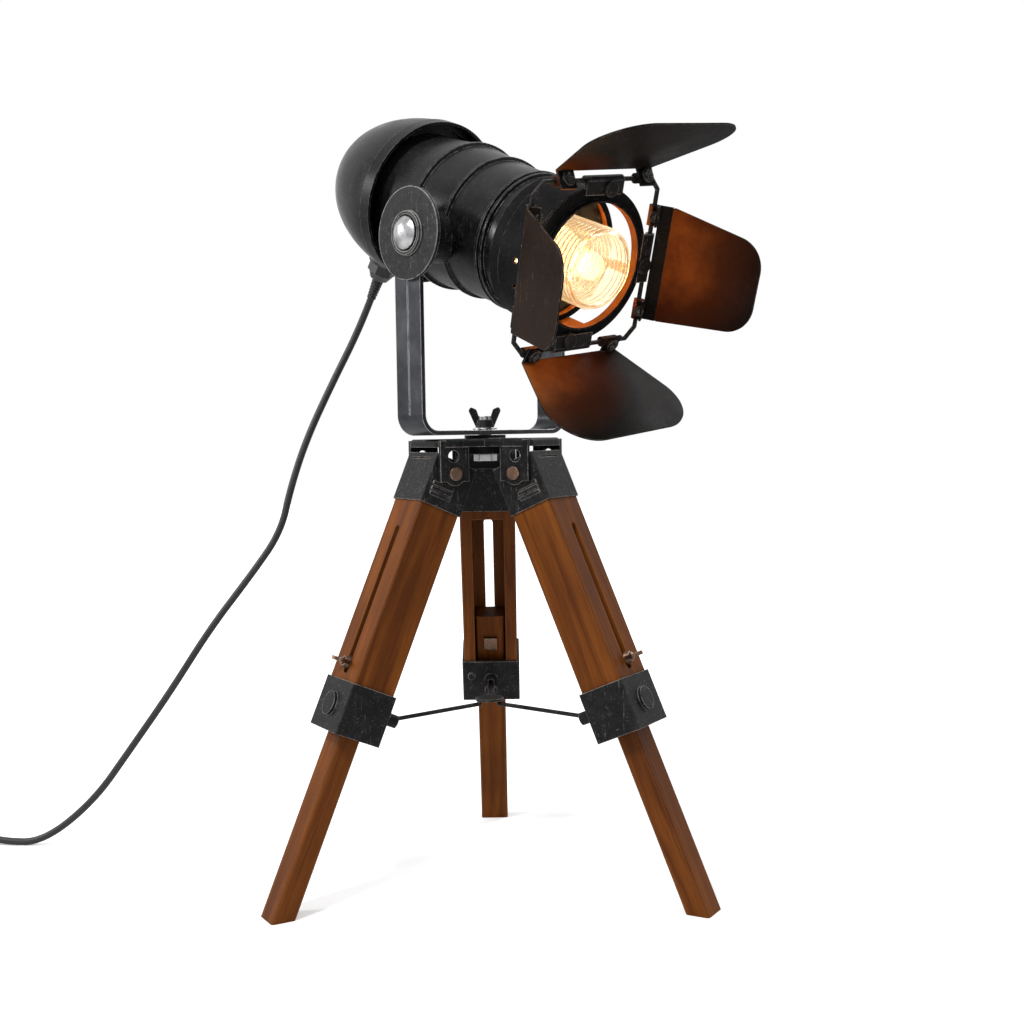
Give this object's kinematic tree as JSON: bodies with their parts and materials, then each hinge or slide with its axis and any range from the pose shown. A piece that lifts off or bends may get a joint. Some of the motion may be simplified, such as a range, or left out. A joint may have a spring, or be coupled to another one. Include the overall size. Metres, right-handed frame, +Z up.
{
  "type": "tabletop searchlight lamp",
  "caption": "Tabletop searchlight lamp: domed barrel head with hinged barn doors in a tilting yoke on a wooden tripod with sliding legs",
  "frame": {"origin": "on the table, under the middle of the tripod, on the yoke's pan axis", "axes": "+Z up along the pan axis; +X to the right of the viewer and +Y away, with the back leg along +Y; the head faces between +X and -Y, nose down"},
  "size_m": [0.8, 0.4088, 0.6041],
  "materials": {
    "black_metal": "satin black enamel, worn to dark steel on the beads",
    "door_sheet": "blackened sheet, bronze inside",
    "yoke_steel": "gunmetal grey, brushed, worn at the edges",
    "bright_nuts": "polished steel, a little scratched",
    "bracket_black": "black, rubbed at the edges",
    "leg_wood": "warm brown stain, satin lacquer",
    "lamp_glass": "clear ribbed glass",
    "bulb_base": "plain",
    "cord_rubber": "matte",
    "black_plastic": "fine grain",
    "plug_blades": "bright"
  },
  "bodies": {
    "tripod_head": {"top_casting": "bracket_black", "center_bolt": "bracket_black", "hinge_pins": "bracket_black", "cord_tube": "cord_rubber", "switch_case": "black_plastic", "cord_coil": "cord_rubber", "plug_body": "black_plastic", "plug_blades": "plug_blades"},
    "yoke": {"yoke_strap": "yoke_steel", "yoke_discs": "yoke_steel"},
    "lamp_head": {"rear_dome": "black_metal", "barrel_shell": "black_metal", "front_bezel": "black_metal", "lamp_holder": "black_metal", "bulb_base": "bulb_base", "bulb_envelope": "lamp_glass", "ribbed_glass": "lamp_glass", "glass_retainer": "bracket_black", "pivot_pads": "black_metal", "pivot_studs": "bright_nuts", "pivot_nuts": "bright_nuts", "cable_gland": "black_metal", "strain_relief": "cord_rubber", "door_ring": "black_metal", "ring_standoffs": "black_metal", "hinge_rod_frame": "black_metal", "hinge_lugs": "black_metal", "lug_rivets": "bracket_black"},
    "top_nut": {"top_wing_nut": "bracket_black"},
    "rocker": {"switch_rocker": "black_plastic"},
    "door_top": {"door_top": "door_sheet", "door_screws_top": "bracket_black"},
    "door_bottom": {"door_bottom": "door_sheet", "door_screws_bottom": "bracket_black"},
    "door_near": {"door_near": "door_sheet", "door_screws_near": "bracket_black"},
    "door_far": {"door_far": "door_sheet", "door_screws_far": "bracket_black"},
    "leg_left": {"upper_leg_left": "leg_wood", "leg_cap_left": "bracket_black", "leg_collar_left": "bracket_black"},
    "foot_left": {"lower_leg_left": "leg_wood", "slot_bolt_left": "bracket_black"},
    "slot_nut_left": {"slot_wing_nut_left": "bracket_black"},
    "stay_left": {"stay_rod_left": "bracket_black", "stay_hub": "bracket_black"},
    "leg_right": {"upper_leg_right": "leg_wood", "leg_cap_right": "bracket_black", "leg_collar_right": "bracket_black"},
    "foot_right": {"lower_leg_right": "leg_wood", "slot_bolt_right": "bracket_black"},
    "slot_nut_right": {"slot_wing_nut_right": "bracket_black"},
    "stay_right": {"stay_rod_right": "bracket_black"},
    "leg_back": {"upper_leg_back": "leg_wood", "leg_cap_back": "bracket_black", "leg_collar_back": "bracket_black"},
    "foot_back": {"lower_leg_back": "leg_wood", "slot_bolt_back": "bracket_black"},
    "slot_nut_back": {"slot_wing_nut_back": "bracket_black"},
    "stay_back": {"stay_rod_back": "bracket_black"}
  },
  "joints": [
    {"name": "yoke_pan", "type": "hinge", "parent": "tripod_head", "child": "yoke", "pos_m": [0, 0, 0.35], "axis": [0, 0, 1], "range_deg": [-60, 60]},
    {"name": "head_tilt", "type": "hinge", "parent": "yoke", "child": "lamp_head", "pos_m": [0.00341, -0.00366, 0.497], "axis": [-0.7314, -0.682, 0], "range_deg": [-18, 50], "deforming": ["cord_tube"]},
    {"name": "door_top_hinge", "type": "hinge", "parent": "lamp_head", "child": "door_top", "pos_m": [0.08457, -0.10304, 0.5251], "axis": [-0.7583, -0.6389, -0.1299], "range_deg": [-52, 48]},
    {"name": "door_bottom_hinge", "type": "hinge", "parent": "lamp_head", "child": "door_bottom", "pos_m": [0.0676, -0.06015, 0.41324], "axis": [0.7583, 0.6389, 0.1299], "range_deg": [-41, 59]},
    {"name": "door_near_hinge", "type": "hinge", "parent": "lamp_head", "child": "door_near", "pos_m": [0.03021, -0.12025, 0.46131], "axis": [-0.1402, 0.3545, -0.9245], "range_deg": [-46.5, 58.5]},
    {"name": "door_far_hinge", "type": "hinge", "parent": "lamp_head", "child": "door_far", "pos_m": [0.12196, -0.04294, 0.47703], "axis": [0.1402, -0.3545, 0.9245], "range_deg": [-38, 67]},
    {"name": "top_nut_turn", "type": "hinge", "parent": "tripod_head", "child": "top_nut", "pos_m": [0, 0, 0.357], "axis": [0, 0, 1], "continuous": true},
    {"name": "leg_fold_left", "type": "hinge", "parent": "tripod_head", "child": "leg_left", "pos_m": [-0.03551, -0.0205, 0.32], "axis": [-0.5, 0.866, 0], "range_deg": [-14, 0]},
    {"name": "stay_swing_left", "type": "hinge", "parent": "leg_left", "child": "stay_left", "pos_m": [-0.07451, -0.04302, 0.13503], "axis": [-0.5, 0.866, 0], "range_deg": [-70, 0]},
    {"name": "leg_slide_left", "type": "slide", "parent": "leg_left", "child": "foot_left", "axis": [0.3426, 0.1978, 0.9184], "range_m": [0, 0.08]},
    {"name": "slot_nut_turn_left", "type": "hinge", "parent": "foot_left", "child": "slot_nut_left", "pos_m": [-0.10537, -0.06083, 0.18326], "axis": [-0.7954, -0.4592, 0.3955], "continuous": true},
    {"name": "leg_fold_right", "type": "hinge", "parent": "tripod_head", "child": "leg_right", "pos_m": [0.03551, -0.0205, 0.32], "axis": [-0.5, -0.866, 0], "range_deg": [-14, 0]},
    {"name": "stay_swing_right", "type": "hinge", "parent": "leg_right", "child": "stay_right", "pos_m": [0.07451, -0.04302, 0.13503], "axis": [-0.5, -0.866, 0], "range_deg": [-70, 0]},
    {"name": "leg_slide_right", "type": "slide", "parent": "leg_right", "child": "foot_right", "axis": [-0.3426, 0.1978, 0.9184], "range_m": [0, 0.08]},
    {"name": "slot_nut_turn_right", "type": "hinge", "parent": "foot_right", "child": "slot_nut_right", "pos_m": [0.10537, -0.06083, 0.18326], "axis": [0.7954, -0.4592, 0.3955], "continuous": true},
    {"name": "leg_fold_back", "type": "hinge", "parent": "tripod_head", "child": "leg_back", "pos_m": [0, 0.041, 0.32], "axis": [1, 0, 0], "range_deg": [-14, 0]},
    {"name": "stay_swing_back", "type": "hinge", "parent": "leg_back", "child": "stay_back", "pos_m": [0, 0.08604, 0.13503], "axis": [1, 0, 0], "range_deg": [-70, 0]},
    {"name": "leg_slide_back", "type": "slide", "parent": "leg_back", "child": "foot_back", "axis": [0, -0.3955, 0.9184], "range_m": [0, 0.08]},
    {"name": "slot_nut_turn_back", "type": "hinge", "parent": "foot_back", "child": "slot_nut_back", "pos_m": [0, 0.12167, 0.18326], "axis": [0, 0.9184, 0.3955], "continuous": true},
    {"name": "rocker_press", "type": "hinge", "parent": "tripod_head", "child": "rocker", "pos_m": [-0.4973, 0.11, 0.0152], "axis": [0, -1, 0], "range_deg": [0, 14]}
  ],
  "couplings": [
    {"joint": "stay_swing_left", "follows": "leg_fold_left", "ratio": 5},
    {"joint": "leg_fold_right", "follows": "leg_fold_left", "ratio": 1},
    {"joint": "stay_swing_right", "follows": "leg_fold_left", "ratio": 5},
    {"joint": "leg_fold_back", "follows": "leg_fold_left", "ratio": 1},
    {"joint": "stay_swing_back", "follows": "leg_fold_left", "ratio": 5}
  ]
}
